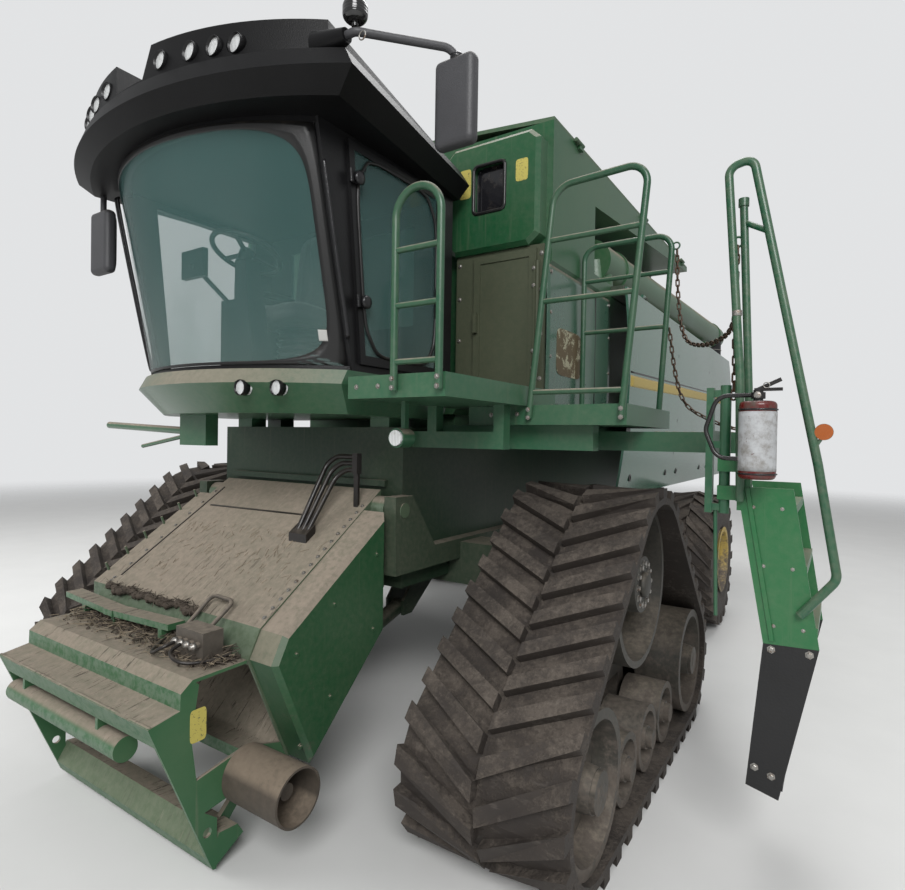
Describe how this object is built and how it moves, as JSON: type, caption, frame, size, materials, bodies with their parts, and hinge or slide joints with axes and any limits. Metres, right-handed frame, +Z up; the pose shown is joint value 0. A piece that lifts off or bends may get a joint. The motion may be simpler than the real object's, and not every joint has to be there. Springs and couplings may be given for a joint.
{
  "type": "combine harvester",
  "caption": "Large grain combine on rubber half-tracks without its cutting table: lifting feeder house, cab, grain tank, folding unloading auger, swinging ladder and steered rear wheels.",
  "frame": {"origin": "middle of the ground that the whole machine's box covers", "axes": "-Y to the machine's front, +X to the driver's left, +Z up"},
  "size_m": [4.8826, 8.0548, 3.873],
  "materials": {
    "green_paint": "dusty gloss",
    "dusty_panel": "dusty",
    "dark_frame": "satin",
    "feeder_steel": "dusty",
    "black_plastic": "matte",
    "black_rubber": "matte",
    "track_rubber": "dusty",
    "tyre_rubber": "dusty",
    "wheel_paint": "dusty",
    "window_glass": "clear",
    "lamp_glass": "clear",
    "amber": "gloss",
    "seat_fabric": "woven",
    "rod_chrome": "polished",
    "rail_paint": "satin",
    "red_paint": "gloss",
    "engine_iron": "plain"
  },
  "bodies": {
    "machine": {"main_frame": "dark_frame", "rear_axle": "dark_frame", "threshing_body": "dusty_panel", "grain_tank": "green_paint", "rear_hood": "green_paint", "engine": "engine_iron", "chopper_case": "dark_frame", "bulkhead": "dusty_panel", "auger_riser": "green_paint", "shield_rails": "dark_frame", "cab_base": "dark_frame", "cab_frame": "black_plastic", "cab_glass": "window_glass", "cab_roof": "black_plastic", "cab_lamps": "lamp_glass", "beacon": "amber", "mirrors": "black_plastic", "seat": "seat_fabric", "steering_column": "black_plastic", "console": "black_plastic", "walkway": "green_paint", "walkway_rails": "rail_paint", "track_left": "track_rubber", "track_right": "track_rubber", "track_frames": "wheel_paint", "drive_wheels": "wheel_paint"},
    "feeder": {"feeder_house": "feeder_steel", "feeder_shield": "green_paint", "feeder_tray": "feeder_steel", "feeder_hoses": "black_rubber", "header_adapter": "feeder_steel", "coupler": "dark_frame", "shaft_guard": "dark_frame"},
    "lift_barrel_pair": {"lift_barrels": "dark_frame"},
    "lift_rod_pair": {"lift_rods": "rod_chrome"},
    "auger": {"auger_tube": "green_paint", "auger_spout": "black_rubber"},
    "ladder_body": {"ladder": "green_paint", "ladder_tail": "black_rubber", "ladder_rail": "rail_paint", "extinguisher": "red_paint"},
    "door": {"cab_door": "black_plastic", "door_glass": "window_glass"},
    "service": {"service_door": "dusty_panel"},
    "cover_left": {"tank_cover_left": "dusty_panel"},
    "cover_right": {"tank_cover_right": "dusty_panel"},
    "shield_left": {"side_shield_left": "green_paint"},
    "shield_right": {"side_shield_right": "green_paint"},
    "knuckle_l": {"knuckle_left": "dark_frame"},
    "knuckle_r": {"knuckle_right": "dark_frame"},
    "wheel_l": {"rim_left": "wheel_paint", "tyre_left": "tyre_rubber"},
    "wheel_r": {"rim_right": "wheel_paint", "tyre_right": "tyre_rubber"},
    "disc_left": {"spreader_disc_left": "dark_frame"},
    "disc_right": {"spreader_disc_right": "dark_frame"}
  },
  "joints": [
    {"name": "feeder_lift", "type": "hinge", "parent": "machine", "child": "feeder", "pos_m": [-0.39431, -2.72539, 1.45], "axis": [-1, 0, 0], "range_deg": [0, 26]},
    {"name": "barrels_turn", "type": "hinge", "parent": "machine", "child": "lift_barrel_pair", "pos_m": [-0.39431, -2.24039, 0.76], "axis": [-1, 0, 0], "range_deg": [0, 17.25]},
    {"name": "rods_slide", "type": "slide", "parent": "lift_barrel_pair", "child": "lift_rod_pair", "axis": [0, -0.9595, -0.2819], "range_m": [0, 0.3464]},
    {"name": "auger_swing", "type": "hinge", "parent": "machine", "child": "auger", "pos_m": [0.82069, -0.87539, 3.184], "axis": [0.0872, 0, -0.9962], "range_deg": [0, 100]},
    {"name": "ladder_swing", "type": "hinge", "parent": "machine", "child": "ladder_body", "pos_m": [2.01069, -2.47539, 1.8], "axis": [0, 0, -1], "range_deg": [0, 90]},
    {"name": "door_swing", "type": "hinge", "parent": "machine", "child": "door", "pos_m": [0.46969, -3.08239, 2.165], "axis": [0, 0.1045, -0.9945], "range_deg": [0, 75]},
    {"name": "service_swing", "type": "hinge", "parent": "machine", "child": "service", "pos_m": [0.93769, -2.11769, 2.5], "axis": [0, 0, 1], "range_deg": [0, 90]},
    {"name": "cover_left_swing", "type": "hinge", "parent": "machine", "child": "cover_left", "pos_m": [1.00269, -0.24539, 3.731], "axis": [0, 1, 0], "range_deg": [0, 100]},
    {"name": "cover_right_swing", "type": "hinge", "parent": "machine", "child": "cover_right", "pos_m": [-1.79131, -0.24539, 3.731], "axis": [0, -1, 0], "range_deg": [0, 100]},
    {"name": "shield_left_lift", "type": "hinge", "parent": "machine", "child": "shield_left", "pos_m": [1.09169, 1.42461, 2.99], "axis": [0, -1, 0], "range_deg": [0, 75]},
    {"name": "shield_right_lift", "type": "hinge", "parent": "machine", "child": "shield_right", "pos_m": [-1.88031, 1.42461, 2.99], "axis": [0, 1, 0], "range_deg": [0, 75]},
    {"name": "steer_left", "type": "hinge", "parent": "machine", "child": "knuckle_l", "pos_m": [0.83569, 1.22461, 0.67], "axis": [0, 0, 1], "range_deg": [-32, 32]},
    {"name": "wheel_left_spin", "type": "hinge", "parent": "knuckle_l", "child": "wheel_l", "pos_m": [1.20569, 1.22461, 0.67], "axis": [1, 0, 0], "continuous": true},
    {"name": "disc_left_spin", "type": "hinge", "parent": "machine", "child": "disc_left", "pos_m": [0.03569, 3.32461, 1.12], "axis": [0, 0, 1], "continuous": true},
    {"name": "steer_right", "type": "hinge", "parent": "machine", "child": "knuckle_r", "pos_m": [-1.62431, 1.22461, 0.67], "axis": [0, 0, 1], "range_deg": [-32, 32]},
    {"name": "wheel_right_spin", "type": "hinge", "parent": "knuckle_r", "child": "wheel_r", "pos_m": [-1.99431, 1.22461, 0.67], "axis": [1, 0, 0], "continuous": true},
    {"name": "disc_right_spin", "type": "hinge", "parent": "machine", "child": "disc_right", "pos_m": [-0.82431, 3.32461, 1.12], "axis": [0, 0, 1], "continuous": true}
  ],
  "couplings": [
    {"joint": "barrels_turn", "follows": "feeder_lift", "ratio": 0.657},
    {"joint": "rods_slide", "follows": "feeder_lift", "m_per_rad": 0.7558},
    {"joint": "steer_right", "follows": "steer_left", "ratio": 1}
  ]
}
